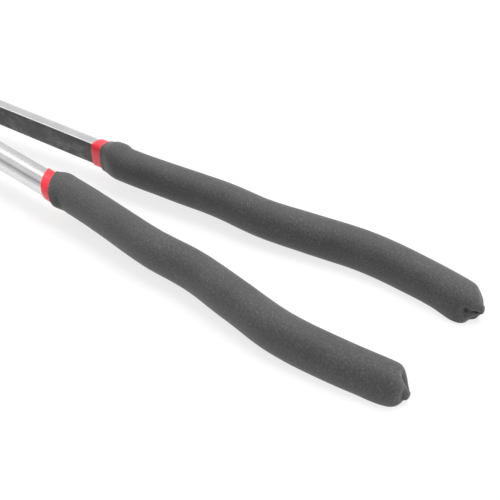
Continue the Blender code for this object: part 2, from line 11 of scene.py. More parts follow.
import bmesh
import bpy
import numpy as np
from mathutils import Matrix, Vector, noise


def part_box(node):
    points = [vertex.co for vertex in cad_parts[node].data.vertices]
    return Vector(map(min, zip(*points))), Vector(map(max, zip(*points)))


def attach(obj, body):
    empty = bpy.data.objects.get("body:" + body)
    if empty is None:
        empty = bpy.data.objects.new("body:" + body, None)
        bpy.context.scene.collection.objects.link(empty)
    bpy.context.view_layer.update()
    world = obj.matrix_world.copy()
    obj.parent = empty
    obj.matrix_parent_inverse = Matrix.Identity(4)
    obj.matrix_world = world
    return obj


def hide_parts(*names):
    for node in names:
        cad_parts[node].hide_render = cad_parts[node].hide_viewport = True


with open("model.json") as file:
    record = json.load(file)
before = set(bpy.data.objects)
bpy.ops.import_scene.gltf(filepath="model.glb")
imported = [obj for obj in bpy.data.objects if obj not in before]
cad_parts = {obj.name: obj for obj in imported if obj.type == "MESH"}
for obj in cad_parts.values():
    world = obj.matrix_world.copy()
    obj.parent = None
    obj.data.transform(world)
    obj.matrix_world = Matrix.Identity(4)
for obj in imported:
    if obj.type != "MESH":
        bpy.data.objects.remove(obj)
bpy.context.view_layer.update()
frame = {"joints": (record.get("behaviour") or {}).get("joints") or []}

MM = 0.001
CLEARANCE = 0.3 * MM                # between pieces that sit in or on each other
THROUGH = 2.0 * MM                  # how far a hole's cutter stands out past what it cuts

# Shading of the finished meshes
SQUARE_EDGE = math.radians(50.0)    # edges turning more than this are shaded sharp
BEVELLED_EDGE = math.radians(65.0)  # edges turning more than this are rounded on fasteners
FACET_EDGE = math.radians(28.0)     # edges turning more than this stay sharp on a bevelled mesh

# Sizes of the steel, as the frame has them
REST_HALF_ANGLE = math.radians(3.55)
HOLD_HALF_ANGLE = math.radians(2.6)
FLAT_OFFSET = 0.4 * MM
SHAFT_HEIGHT = 10.2 * MM
SHAFT_DEPTH = 8.5 * MM
HUB_HEIGHT = 11.0 * MM
SHOULDER_STEP = 0.2 * MM
HUB_RADIUS = 14.0 * MM
RECESS_RADIUS = 14.4 * MM
SHOULDER_RADIUS = 18.5 * MM
STOP_ANGLE = math.radians(104.0)
FLANK_ANGLE = math.radians(127.0)
FLANK_START = -SHOULDER_RADIUS * math.cos(FLANK_ANGLE)
FLANK_OUT = SHOULDER_RADIUS * math.sin(FLANK_ANGLE)
FLANK_END = 40.0 * MM
BAR_START = 10.0 * MM
SQUARE_POWER = 7.0                  # makes a section's sides flat and its corners tight
ROUND_POWER = 2.2                   # makes them nearly elliptical
LAP_BOTTOM = 0.6 * MM
HUB_BORE_RADIUS = 5.6 * MM
HUB_EDGE_STEP = 0.3 * MM            # how much smaller the hub's raised disc is than its plate
HUB_SIDE = FLAT_OFFSET + 0.4 * MM   # where the hub's plate meets the bar's flat side
FORGING_END = 48.0 * MM             # the soft-edged forging ends here and the drawn bar begins
FORGING_VOXEL = 0.35 * MM
FORGING_PASSES = 7                  # smoothing passes over the forging

# Sizes of the dipped handle
PIVOT_TO_GRIP = 196.3 * MM
GRIP_LENGTH = 173.3 * MM
TIP_DISTANCE = PIVOT_TO_GRIP + GRIP_LENGTH
CORE_END = TIP_DISTANCE - 10.0 * MM
CORE_CHAMFER = 1.5 * MM
CORE_HALF_WIDTH = 4.0 * MM
CORE_HALF_HEIGHT = 4.8 * MM
CORE_POWER = 2.4
NECK_STEP = 0.3 * MM
NECK_LENGTH = 14.0 * MM
COAT_GAP = 0.25 * MM
RED_COAT = 0.65 * MM
RED_BAND = 5.4 * MM
BLACK_LIP = 0.45 * MM
UNDER_BLACK = COAT_GAP + RED_COAT + COAT_GAP
RED_ROLL = 0.45 * MM                # radius of each coat's rolled front edge
BLACK_ROLL = 0.5 * MM
EDGE_START = 0.05 * MM              # how far behind its rolled edge a coat's inside begins
COAT_POWER = 2.7                    # how square a coat stays over the bar's corners
COAT_FULLNESS = 0.6 * MM            # how much fuller it runs on the bar's flat
SHOULDER_LENGTH = 11.0 * MM
GRIP_OVAL = 0.055
GRIP_POWER = 2.3

# Along the grip: (share of its length, mm out from the bar's flat) and (share of its length, radius in mm)
HANDLE_CURVE = [(0.03, 2.4), (0.085, 2.1), (0.205, 3.1), (0.34, 4.4), (0.465, 3.6),
                (0.59, 5.7), (0.72, 7.8), (0.85, 5.8), (0.99, 1.5)]
GRIP_RADII = [(0.045, 6.92), (0.15, 6.88), (0.365, 7.16), (0.665, 7.4), (0.86, 7.28), (1.0, 7.1)]

# The grip's blind end: (mm from the tip, share of the grip's full thickness)
TIP_PROFILE = [(0.0, 0.0), (0.08, 0.12), (0.3, 0.20), (0.7, 0.26), (1.2, 0.33), (1.8, 0.45),
               (2.5, 0.62), (3.4, 0.78), (4.6, 0.89), (6.2, 0.96), (8.2, 0.99), (11.0, 1.0)]

# Sizes of the cups
BALL_CENTRE = 84.0 * MM
LINING_IN = 21.635 * MM
LINING_OUT = LINING_IN + 2.65 * MM
LINING_GROOVES = 4
GROOVE_DEPTH = 0.35 * MM
CUP_IN = LINING_OUT + CLEARANCE
CUP_WALL = 1.6 * MM
CUP_OUT = CUP_IN + CUP_WALL
CUP_FLAT_RADIUS = 9.5 * MM
CUP_SEAT = math.sqrt(CUP_OUT ** 2 - CUP_FLAT_RADIUS ** 2)
CUP_HALF_ANGLE = math.radians(64.0)
CUP_VOXEL = 0.35 * MM
CUP_PASSES = 4
DRAIN_RADIUS = 2.75 * MM
DRAIN_POLAR = math.radians(33.5)
DRAIN_AZIMUTHS = [math.radians(a) for a in (45, 90, 135, 225, 270, 315)]
SPADE_FACE = CUP_SEAT + CLEARANCE
SPADE_DEPTH = 4.0 * MM
SPADE_HEIGHT = 14.0 * MM
SPADE_REACH = 12.0 * MM
SPADE_START = 13.0 * MM
JAW_ROOT_REACH = 30.0 * MM
JAW_SPADE_REACH = 20.0 * MM
RIVET_SPACING = 11.0 * MM
RIVET_RADIUS = 1.5 * MM
RIVET_HEAD_RADIUS = 3.1 * MM
RIVET_HEAD_RISE = 1.45 * MM
TRIM_WALL = 1.1 * MM

# Sizes of the pivot
BOLT_RADIUS = 4.0 * MM
BOLT_HEAD_HEIGHT = 3.6 * MM
PIVOT_BORE = BOLT_RADIUS + CLEARANCE
HEX_ACROSS = 13.0 * MM
HEX_CHAMFER_RADIUS = 6.35 * MM
THREAD_PITCH = 1.0 * MM
THREAD_DEPTH = 0.35 * MM
THREAD_LENGTH = 9.0 * MM
THREAD_POINT = 0.7 * MM
NUT_COLLAR_HEIGHT = 1.8 * MM
NUT_COLLAR_RADIUS = 5.7 * MM
LOCK_RING_RADIUS = 5.3 * MM
LOCK_RING_DEPTH = 1.5 * MM

# Lumps all over the black coats: (size, height) of each layer, and how far they take to set in
LUMPS = [(16.0 * MM, 0.10 * MM), (4.0 * MM, 0.03 * MM)]
LUMPS_SET_IN = 5.0 * MM
SLIP_BEFORE = (40.0 * MM, 30.0 * MM)    # ahead of the coats: where the slip begins, and its ease
SLIP_BEHIND = (1.0 * MM, 16.0 * MM)     # behind their edge: where it begins to fade, and its ease
SHOULDER_WIDTH = 55.0                   # degrees to either side in which the shoulder's bulge dies away
DRIP_REACH = 6.5 * MM                   # how far the drip's pull to one side reaches
DIMPLE_GIRTH = 5.0                      # radius at which a dimple's width is measured, in mm

# How each handle came out of the dip, in its own lever's frame. Lengths are in mm. Directions are in
# degrees round the handle: 0 is away from the other handle and 90 is the lever's own +Z.
# slip: how far back the coats begin at the bar's middle, and the change per mm outwards and up.
# shoulder: (distance behind the coat's edge, reach, height, direction) of the bulge there.
# drip: how far the drip sits off the grip's middle, outwards and up.
# pinch: (direction, share) in which the drip keeps its width, and how much its flanks are drawn in.
# dimples: (distance from the tip, direction, radius, depth), a bump where the depth is below zero.
DIPS = {
    "left": {
        "slip": (1.5, 0.44, -0.34),
        "shoulder": (4.5, 4.0, 0.55, 120.0),
        "drip": (1.0, -0.65),
        "pinch": (45.0, 0.2),
        "dimples": [(2.8, 112.0, 2.0, 1.5), (2.0, -38.0, 1.5, -0.25), (8.0, -45.0, 6.0, -0.35)],
    },
    "right": {
        "slip": (-0.6, 0.0, 0.0),
        "shoulder": (6.0, 4.5, 1.15, -60.0),
        "drip": (0.0, -0.8),
        "pinch": (-120.0, 0.2),
        "dimples": [(4.8, -166.0, 1.6, 1.7), (2.0, -172.0, 1.0, 1.0), (2.8, -45.0, 2.2, 1.3),
                    (3.0, 128.0, 1.7, 1.2), (9.0, 135.0, 6.0, -1.1)],
    },
}

LOOP_POINTS = 72                    # points round a handle's section
STATION_STEP = 0.8 * MM             # rings along a handle
ROUND_SIDES = 96                    # sides of a turned piece
FINE_SIDES = 128                    # and of the cups' large ones

# The floor, grey but partly glowing so that shadows on it stay faint
FLOOR_SIZE = 6.0
FLOOR_GREY = (0.2, 0.2, 0.2, 1.0)
FLOOR_GLOW = 0.76

# The key light, from the middle of the handles
HANDLES_MIDDLE = Vector((-0.28, 0.0, 0.0))
KEY_OFFSET = Vector((-0.2, -0.4, 1.25))
KEY_SIZE = (0.8, 0.8)
KEY_POWER = 14.5

# The studio around: (degrees about the tool's length from +Y up and over, brightness)
STUDIO_BANDS = [(0, 0.90), (22, 0.88), (34, 0.5), (41, 0.36), (50, 0.62), (64, 1.12), (78, 0.95),
                (89, 0.72), (98, 1.2), (103, 5.0), (108, 1.2), (118, 0.95), (150, 0.98), (180, 1.0)]
STUDIO_STRENGTH = 0.82

# The camera, from the pivot
CAMERA_OFFSET = Vector((-460.7, 221.6, 221.4)) * MM
TARGET_OFFSET = Vector((-283.9, -1.6, 0.0)) * MM
LENS = 69.6
SENSOR = 36.0

PIVOT = Vector(frame["joints"][0]["pos_m"])
LEVER_POSES = {
    "left": Matrix.Translation(PIVOT) @ Matrix.Rotation(-REST_HALF_ANGLE, 4, "Z"),
    "right": (Matrix.Translation(PIVOT) @ Matrix.Rotation(REST_HALF_ANGLE, 4, "Z")
              @ Matrix.Rotation(math.pi, 4, "X")),
}
CUP_POSE = (Matrix.Rotation(HOLD_HALF_ANGLE, 4, "Z") @ Matrix.Translation((BALL_CENTRE, 0.0, 0.0))
            @ Matrix.Rotation(math.pi / 2, 4, "X"))


# ---- small tools

def mix(a, b, t):
    """The value a share t of the way from a to b."""
    return a + (b - a) * t


def ease(t):
    """From 0 to 1 with level ends, and held there outside them."""
    t = min(max(t, 0.0), 1.0)
    return t * t * (3 - 2 * t)


def through(points, x):
    """Smooth curve through (x, y) points: the height at x, level beyond both ends."""
    if x <= points[0][0]:
        return points[0][1]
    if x >= points[-1][0]:
        return points[-1][1]
    i = max(k for k in range(len(points) - 1) if points[k][0] <= x)

    def slope(k):
        before = points[max(k - 1, 0)]
        after = points[min(k + 1, len(points) - 1)]
        return (after[1] - before[1]) / (after[0] - before[0])

    (x0, y0), (x1, y1) = points[i], points[i + 1]
    span = x1 - x0
    t = (x - x0) / span
    rise = (2 * t ** 3 - 3 * t ** 2 + 1) * y0 + (3 * t ** 2 - 2 * t ** 3) * y1
    lean = (t ** 3 - 2 * t ** 2 + t) * slope(i) + (t ** 3 - t ** 2) * slope(i + 1)
    return rise + lean * span


def bezier(a, b, c, d, t):
    """Point at t of the cubic curve from a to d, pulled towards b and c."""
    return a * (1 - t) ** 3 + b * 3 * t * (1 - t) ** 2 + c * 3 * t * t * (1 - t) + d * t ** 3


def steps_between(a, b, count):
    """Both ends and the even steps between them, count + 1 values in all."""
    return [mix(a, b, k / count) for k in range(count + 1)]


def mesh_of(points, faces):
    """A mesh with its faces pointing out and shaded smooth."""
    mesh = bpy.data.meshes.new("work")
    mesh.from_pydata([tuple(p) for p in points], [], faces)
    bm = bmesh.new()
    bm.from_mesh(mesh)
    bmesh.ops.recalc_face_normals(bm, faces=bm.faces)
    bm.to_mesh(mesh)
    bm.free()
    mesh.shade_smooth()
    return mesh


def skin(rings):
    """A closed tube through rings of points, capped at both ends."""
    rings = np.array(rings, float)
    count, around = rings.shape[:2]
    faces = [tuple(range(around)), tuple(range((count - 1) * around, count * around))]
    for i in range(count - 1):
        for j in range(around):
            k = (j + 1) % around
            faces.append((i * around + j, i * around + k, (i + 1) * around + k, (i + 1) * around + j))
    return mesh_of(rings.reshape(-1, 3), faces)


def turned(profile, sides=ROUND_SIDES):
    """A profile of (radius, height) points turned about Z. An open profile ends on the axis."""
    closed = profile[0][0] > 0
    points, rows = [], []
    for radius, height in profile:
        if radius <= 0:
            rows.append([len(points)] * sides)
            points.append((0.0, 0.0, height))
            continue
        rows.append([len(points) + j for j in range(sides)])
        for j in range(sides):
            turn = 2 * math.pi * j / sides
            points.append((radius * math.cos(turn), radius * math.sin(turn), height))
    pairs = list(zip(rows, rows[1:] + rows[:1])) if closed else list(zip(rows, rows[1:]))
    faces = []
    for a, b in pairs:
        for j in range(sides):
            k = (j + 1) % sides
            face = []
            for v in (a[j], a[k], b[k], b[j]):
                if v not in face:
                    face.append(v)
            faces.append(face)
    return mesh_of(points, faces)


def rounded(corners, radius, steps=4):
    """A closed outline with each corner replaced by an arc of about that radius."""
    outline = []
    for i, corner in enumerate(corners):
        here = Vector(corner)
        before, after = Vector(corners[i - 1]), Vector(corners[(i + 1) % len(corners)])
        cut = min(radius, (before - here).length * 0.45, (after - here).length * 0.45)
        start = here + (before - here).normalized() * cut
        end = here + (after - here).normalized() * cut
        for k in range(steps + 1):
            t = k / steps
            outline.append(tuple(start * (1 - t) ** 2 + here * 2 * t * (1 - t) + end * t * t))
    return outline


def work_object(mesh):
    """A passing object that carries a mesh through its modifiers."""
    made = bpy.data.objects.new("work", mesh)
    bpy.context.scene.collection.objects.link(made)
    return made


def applied(obj, *spare):
    """The object's mesh with its modifiers applied. The object and the spare ones are removed."""
    bpy.context.view_layer.update()
    evaluated = obj.evaluated_get(bpy.context.evaluated_depsgraph_get())
    mesh = bpy.data.meshes.new_from_object(evaluated)
    for old in (obj, *spare):
        bpy.data.objects.remove(old)
    return mesh


def combined(base, *tools):
    """The base mesh after each (operation, mesh) Boolean."""
    obj = work_object(base)
    spare = []
    for operation, mesh in tools:
        tool = work_object(mesh)
        step = obj.modifiers.new("cut", "BOOLEAN")
        step.operation = operation
        step.object = tool
        spare.append(tool)
    return applied(obj, *spare)


def softened(mesh, voxel, passes):
    """The mesh rebuilt in even quads, with its edges rounded off."""
    obj = work_object(mesh)
    remesh = obj.modifiers.new("remesh", "REMESH")
    remesh.mode = "VOXEL"
    remesh.voxel_size = voxel
    remesh.use_smooth_shade = True
    smooth = obj.modifiers.new("smooth", "SMOOTH")
    smooth.factor = 0.5
    smooth.iterations = passes
    return applied(obj)


def bevelled(mesh, width):
    """The mesh with its squarest edges rounded."""
    obj = work_object(mesh)
    bevel = obj.modifiers.new("bevel", "BEVEL")
    bevel.width = width
    bevel.segments = 3
    bevel.limit_method = "ANGLE"
    bevel.angle_limit = BEVELLED_EDGE
    bevel.harden_normals = True
    made = applied(obj)
    made.shade_smooth()
    made.set_sharp_from_angle(angle=FACET_EDGE)
    return made


def cylinder(radius, low, high, matrix=Matrix.Identity(4), sides=ROUND_SIDES):
    """A capped cylinder along the matrix's Z, from low to high."""
    bm = bmesh.new()
    middle = matrix @ Matrix.Translation((0, 0, (low + high) / 2))
    bmesh.ops.create_cone(bm, cap_ends=True, segments=sides, radius1=radius, radius2=radius,
                          depth=high - low, matrix=middle)
    mesh = bpy.data.meshes.new("work")
    bm.to_mesh(mesh)
    bm.free()
    return mesh


def show(name, mesh, pose, materials, body, node):
    """A finished piece: placed, given its materials, riding on its body in its CAD node's stead."""
    mesh = mesh.copy()
    mesh.name = name
    for one in materials:
        mesh.materials.append(one)
    made = bpy.data.objects.new(name, mesh)
    bpy.context.scene.collection.objects.link(made)
    made.matrix_world = pose
    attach(made, body)
    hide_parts(node)


# ---- bar sections

class Section:
    """A bar's cross-section: flat-sided towards the other lever where power_in is high."""

    def __init__(self, inner, outer, half_height, power_in, power_out):
        self.values = (inner, outer, half_height, power_in, power_out)

    def grown(self, amount):
        """The section with its surface moved out."""
        inner, outer, half_height, power_in, power_out = self.values
        return Section(inner + amount, outer + amount, half_height + amount, power_in, power_out)

    def mixed(self, other, t):
        """A section between this one and another."""
        return Section(*(mix(a, b, t) for a, b in zip(self.values, other.values)))

    def loop(self):
        """Evenly spaced (out, up) points round the section, starting at its outermost one."""
        inner, outer, half_height, power_in, power_out = self.values
        turn = np.linspace(0.0, 2 * math.pi, 721)
        c, s = np.cos(turn), np.sin(turn)
        side = np.where(c >= 0, outer, -inner)
        power = np.where(c >= 0, power_out, power_in)
        u = side * np.abs(c) ** (2 / power)
        v = np.sign(s) * np.abs(s) ** (2 / power) * half_height
        along = np.concatenate([[0.0], np.cumsum(np.hypot(np.diff(u), np.diff(v)))])
        wanted = np.linspace(0.0, along[-1], LOOP_POINTS, endpoint=False)
        return np.stack([np.interp(wanted, along, u), np.interp(wanted, along, v)], axis=1)


def placed(loop, centre, out):
    """A loop's points in space; out is the unit direction away from the other lever."""
    x = centre[0] + out[0] * loop[:, 0]
    y = centre[1] + out[1] * loop[:, 0]
    return np.stack([x, y, loop[:, 1]], axis=1)


BAR_INSIDE = 1.0 * MM               # from the bar's flat to the widest part of its section
BAR_CENTRE = FLAT_OFFSET + BAR_INSIDE
BAR = Section(BAR_INSIDE, SHAFT_DEPTH - BAR_INSIDE, SHAFT_HEIGHT / 2, SQUARE_POWER, ROUND_POWER)
CORE = Section(CORE_HALF_WIDTH, CORE_HALF_WIDTH, CORE_HALF_HEIGHT, CORE_POWER, CORE_POWER)


def grip_line(back):
    """Centre line of the handle at a distance behind the pivot."""
    blend = ease((back - PIVOT_TO_GRIP) / NECK_LENGTH)
    return mix(BAR_CENTRE, through(HANDLE_CURVE, (back - PIVOT_TO_GRIP) / GRIP_LENGTH) * MM, blend)


def handle_axes(back):
    """The handle's centre at a distance behind the pivot, and the direction out from it."""
    step = 0.5 * MM
    lean = (grip_line(back + step) - grip_line(back - step)) / (2 * step)
    length = math.hypot(1.0, lean)
    return (-back, grip_line(back)), (lean / length, 1.0 / length)


def on_handle(back, loop):
    """A section's loop in its place on the handle."""
    return placed(loop, *handle_axes(back))


def core_section(back):
    """Steel under the coats: the bar, a step smaller, easing into the oval core."""
    return BAR.grown(-NECK_STEP).mixed(CORE, ease((back - PIVOT_TO_GRIP) / NECK_LENGTH))


def coat_section(back, thickness):
    """A coat's outline over the steel. It runs thin at the bar's corners and fuller on its flat."""
    inner, outer, half_height, power_in, power_out = core_section(back).grown(thickness).values
    squareness = min(max((power_in - COAT_POWER) / COAT_POWER, 0.0), 1.0)
    fuller = COAT_FULLNESS * squareness * min(thickness / RED_COAT, 1.0)
    rounder = mix(power_in, min(power_in, COAT_POWER), min(thickness / RED_COAT, 1.0))
    return Section(inner + fuller, outer, half_height, rounder, power_out)


def offset_rings(front, clearance):
    """Rings of the core's surface moved out by a clearance, from a distance back to its end."""
    end = CORE_END - CORE_CHAMFER
    backs = steps_between(front, end, 60)
    rings = [on_handle(back, coat_section(back, clearance).loop()) for back in backs]
    tip = CORE.grown(clearance - CORE_CHAMFER)
    rings.append(on_handle(CORE_END + clearance, tip.loop()))
    return rings


# ---- levers

def flared(section, centre, distance):
    """A bar's section where it widens and squares up into the hub's shoulder."""
    inner, _, _, power_in, _ = section.values
    outer = FLANK_OUT - centre
    root = Section(inner, outer, HUB_HEIGHT / 2 - SHOULDER_STEP, power_in, SQUARE_POWER)
    return section.mixed(root, ease((FLANK_END - distance) / (FLANK_END - FLANK_START)))


def bar_stub():
    """The bar's flared root, from inside the hub to a little past the forging's end."""
    backs = [BAR_START] + steps_between(FLANK_START, FLANK_END, 24) + [FORGING_END + 4 * MM]
    return skin([placed(flared(BAR, BAR_CENTRE, back).loop(), (-back, BAR_CENTRE), (0.0, 1.0))
                 for back in backs])


def drawn_bar():
    """The half-round bar from the forging back, with its core under the coats."""
    coats_start = PIVOT_TO_GRIP - RED_BAND
    backs = steps_between(FORGING_END - 1 * MM, coats_start - EDGE_START, 24)
    front = [on_handle(back, BAR.loop()) for back in backs]
    return skin(front + offset_rings(coats_start, 0.0))


def jaw_line(t):
    """Centre line of the jaw arm: out of the hub, round the ball and along the back of the cup."""
    hold = Matrix.Rotation(HOLD_HALF_ANGLE, 2)
    root = Vector((FLANK_START, -FLAT_OFFSET - SHAFT_DEPTH / 2))
    spade = hold @ Vector((BALL_CENTRE - SPADE_START, -SPADE_FACE - SPADE_DEPTH / 2))
    reach = hold @ Vector((JAW_SPADE_REACH, 0.0))
    return bezier(root, root + Vector((JAW_ROOT_REACH, 0.0)), spade - reach, spade, t)


def jaw_arm():
    """The arm from inside the hub to the rounded end of the spade."""
    half = SHAFT_DEPTH / 2
    root = Section(half, half, SHAFT_HEIGHT / 2, 6.0, 2.6)
    thick = SPADE_DEPTH / 2
    spade = Section(thick, thick, SPADE_HEIGHT / 2, SQUARE_POWER, SQUARE_POWER)
    hold = Matrix.Rotation(HOLD_HALF_ANGLE, 2)
    start = jaw_line(0.0)
    rings = [placed(flared(root, -start.y, BAR_START).loop(), (BAR_START, start.y), (0.0, -1.0))]
    for t in steps_between(0.0, 1.0, 60):
        ahead = (jaw_line(min(t + 0.01, 1.0)) - jaw_line(max(t - 0.01, 0.0))).normalized()
        bar = flared(root.mixed(spade, ease(t)), -start.y, jaw_line(t).x)
        rings.append(placed(bar.loop(), jaw_line(t), (ahead.y, -ahead.x)))
    out, along = hold @ Vector((0.0, -1.0)), hold @ Vector((1.0, 0.0))
    length = SPADE_START + SPADE_REACH
    for turn in steps_between(0.0, math.pi / 2, 14):
        ahead = length - SPADE_HEIGHT / 2 * (1 - math.sin(turn))
        size = SPADE_HEIGHT / 2 * max(math.cos(turn), 0.2)
        end = Section(thick, thick, size, SQUARE_POWER, SQUARE_POWER)
        rings.append(placed(end.loop(), jaw_line(1.0) + along * ahead, out))
    return skin(rings)


def hub_plate():
    """The hub's disc with a shoulder at the root of each arm."""
    half = []
    for angle in steps_between(-math.asin(HUB_SIDE / HUB_RADIUS), STOP_ANGLE, 40):
        half.append((HUB_RADIUS * math.cos(angle), HUB_RADIUS * math.sin(angle)))
    for angle in steps_between(STOP_ANGLE, FLANK_ANGLE, 12):
        half.append((SHOULDER_RADIUS * math.cos(angle), SHOULDER_RADIUS * math.sin(angle)))
    half.append((-FLANK_START, HUB_SIDE))
    outline = half + [(-x, -y) for x, y in half]
    bm = bmesh.new()
    low = [bm.verts.new((x, y, -HUB_HEIGHT / 2 + SHOULDER_STEP)) for x, y in outline]
    bottom = bm.faces.new(low)
    grown = bmesh.ops.extrude_face_region(bm, geom=[bottom])
    top = [v for v in grown["geom"] if isinstance(v, bmesh.types.BMVert)]
    bmesh.ops.translate(bm, verts=top, vec=(0.0, 0.0, HUB_HEIGHT - 2 * SHOULDER_STEP))
    bmesh.ops.recalc_face_normals(bm, faces=bm.faces)
    mesh = bpy.data.meshes.new("work")
    bm.to_mesh(mesh)
    bm.free()
    return mesh


def forging():
    """Hub, shoulders and jaw arm in one piece with soft edges, cut off where the bar begins."""
    tools = [
        ("UNION", hub_plate()),
        ("UNION", jaw_arm()),
        ("UNION", cylinder(HUB_RADIUS - HUB_EDGE_STEP, -HUB_HEIGHT / 2, HUB_HEIGHT / 2)),
        ("DIFFERENCE", cylinder(RECESS_RADIUS, -HUB_HEIGHT, LAP_BOTTOM)),
        ("DIFFERENCE", cylinder(HUB_BORE_RADIUS, -HUB_HEIGHT, HUB_HEIGHT)),
    ]
    for side in (-1, 1):
        hole = CUP_POSE @ Matrix.Translation((side * RIVET_SPACING / 2, 0.0, 0.0))
        low, high = SPADE_FACE - THROUGH, SPADE_FACE + SPADE_DEPTH + THROUGH
        tools.append(("DIFFERENCE", cylinder(RIVET_RADIUS + CLEARANCE, low, high, hole, 48)))
    mesh = softened(combined(bar_stub(), *tools), FORGING_VOXEL, FORGING_PASSES)
    bm = bmesh.new()
    bm.from_mesh(mesh)
    whole = bm.verts[:] + bm.edges[:] + bm.faces[:]
    cut = bmesh.ops.bisect_plane(bm, geom=whole, plane_co=(-FORGING_END, 0.0, 0.0),
                                 plane_no=(-1.0, 0.0, 0.0), clear_outer=True)
    rim = [e for e in cut["geom_cut"] if isinstance(e, bmesh.types.BMEdge)]
    bmesh.ops.contextual_create(bm, geom=rim)
    bm.to_mesh(mesh)
    bm.free()
    mesh.shade_smooth()
    return mesh


def joined(*meshes):
    """The meshes in one, smooth but for its square edges."""
    bm = bmesh.new()
    for mesh in meshes:
        bm.from_mesh(mesh)
    made = bpy.data.meshes.new("work")
    bm.to_mesh(made)
    bm.free()
    made.shade_smooth()
    made.set_sharp_from_angle(angle=SQUARE_EDGE)
    return made


def lever_mesh(forged, dip):
    """Forging and bar, with the unplated inner flat as the second material."""
    mesh = joined(forged, slipped(drawn_bar(), dip))
    for face in mesh.polygons:
        on_flat = face.normal.y < -0.85 and face.center.y < FLAT_OFFSET + 0.5 * MM
        face.material_index = 1 if on_flat and face.center.x < -RECESS_RADIUS else 0
    return mesh


# ---- dipped coats

def slipped(mesh, dip):
    """The mesh slid along the handle about the coats' front, as hand-dipped coats begin askew."""
    level, per_out, per_up = dip["slip"]
    for vertex in mesh.vertices:
        back = -vertex.co.x
        out = vertex.co.y - grip_line(back)
        slide = level * MM + per_out * out + per_up * vertex.co.z
        behind = back - PIVOT_TO_GRIP
        begins = ease((behind + SLIP_BEFORE[0]) / SLIP_BEFORE[1])
        vertex.co.x -= slide * begins * ease(1 - (behind - SLIP_BEHIND[0]) / SLIP_BEHIND[1])
    return mesh


def red_coat(dip):
    """The inner coat, with a rolled front edge."""
    front = PIVOT_TO_GRIP - RED_BAND
    outside = COAT_GAP + RED_COAT
    rings = [on_handle(CORE_END + outside, CORE.grown(outside - CORE_CHAMFER).loop())]
    for back in steps_between(CORE_END - CORE_CHAMFER, front + RED_ROLL, 60):
        rings.append(on_handle(back, coat_section(back, outside).loop()))
    for turn in steps_between(0.0, math.pi / 2, 6)[1:]:
        back = front + RED_ROLL * (1 - math.sin(turn))
        size = COAT_GAP + RED_COAT * math.cos(turn)
        rings.append(on_handle(back, coat_section(back, size).loop()))
    return slipped(skin(rings + offset_rings(front + EDGE_START, COAT_GAP)), dip)


def grip_loop(back):
    """Outside of the black coat: a thin lip over the bar that swells to the full oval grip."""
    radius = through(GRIP_RADII, (back - PIVOT_TO_GRIP) / GRIP_LENGTH) * MM
    narrow, tall = radius * (1 - GRIP_OVAL), radius * (1 + GRIP_OVAL)
    oval = Section(narrow, narrow, tall, GRIP_POWER, GRIP_POWER)
    lip = coat_section(back, UNDER_BLACK + BLACK_LIP)
    return lip.mixed(oval, ease((back - PIVOT_TO_GRIP) / SHOULDER_LENGTH)).loop()


def black_coat(dip, seed):
    """The outer coat: rolled lip, swelling grip and a blunt end with the drip that set on it."""
    rings = []
    tip = [(a * MM, b) for a, b in TIP_PROFILE]
    length = tip[-1][0]
    drip = np.array(dip["drip"]) * MM
    for share in steps_between(0.0, 1.0, 60):
        from_tip = length * share ** 1.5
        size = max(through(tip, from_tip), 0.004)
        back = TIP_DISTANCE - from_tip
        loop = grip_loop(back) * size * pinched(from_tip, dip["pinch"])
        rings.append(on_handle(back, loop + drip * ease(1 - from_tip / DRIP_REACH)))
    start = TIP_DISTANCE - length
    count = round((start - PIVOT_TO_GRIP) / STATION_STEP)
    for back in steps_between(start, PIVOT_TO_GRIP + BLACK_ROLL, count)[1:]:
        rings.append(on_handle(back, grip_loop(back)))
    for turn in steps_between(0.0, math.pi / 2, 6)[1:]:
        back = PIVOT_TO_GRIP + BLACK_ROLL * (1 - math.sin(turn))
        edge = coat_section(back, UNDER_BLACK + BLACK_LIP * math.cos(turn)).loop()
        rings.append(on_handle(back, edge))
    outside = len(rings) * LOOP_POINTS
    mesh = skin(rings + offset_rings(PIVOT_TO_GRIP + EDGE_START, UNDER_BLACK))
    unevenness(mesh, outside, dip, seed)
    return slipped(mesh, dip)


def pinched(from_tip, pinch):
    """Factors round a section near the drip, smaller to either side of the pinch's direction."""
    direction, amount = pinch
    turns = np.linspace(0.0, 2 * math.pi, LOOP_POINTS, endpoint=False)
    along = ease(from_tip / (0.8 * MM)) * ease(1 - (from_tip - 1.2 * MM) / (4.5 * MM))
    flat = 0.5 - 0.5 * np.cos(2 * (turns - math.radians(direction)))
    return (1 - amount * along * flat)[:, None]


def bulge_at(co, dip):
    """Extra height in mm of the coat at a point: the shoulder behind its edge, less the dimples."""
    back = -co.x
    around = math.degrees(math.atan2(co.z, co.y - grip_line(back)))

    def apart(direction):
        return (around - direction + 180.0) % 360.0 - 180.0

    place, reach, height, direction = dip["shoulder"]
    along = (back - PIVOT_TO_GRIP - place * MM) / (reach * MM)
    high = height * math.exp(-along ** 4) * math.exp(-(apart(direction) / SHOULDER_WIDTH) ** 2)
    for from_tip, direction, radius, depth in dip["dimples"]:
        along = (TIP_DISTANCE - back) / MM - from_tip
        across = math.radians(apart(direction)) * DIMPLE_GIRTH
        high -= depth * math.exp(-(along ** 2 + across ** 2) / radius ** 2)
    return high


def unevenness(mesh, count, dip, seed):
    """Lumps of a hand-dipped coat on the mesh's first points, fading out at its lip."""
    offset = Vector((seed, 0.0, 0.0))
    normals = [vertex.normal.copy() for vertex in mesh.vertices[:count]]
    for vertex, normal in zip(mesh.vertices, normals):
        co = vertex.co
        lump = bulge_at(co, dip) * MM
        for size, height in LUMPS:
            lump += height * noise.noise(co / size + offset)
        vertex.co = co + normal * lump * ease((-co.x - PIVOT_TO_GRIP) / LUMPS_SET_IN)


# ---- cups

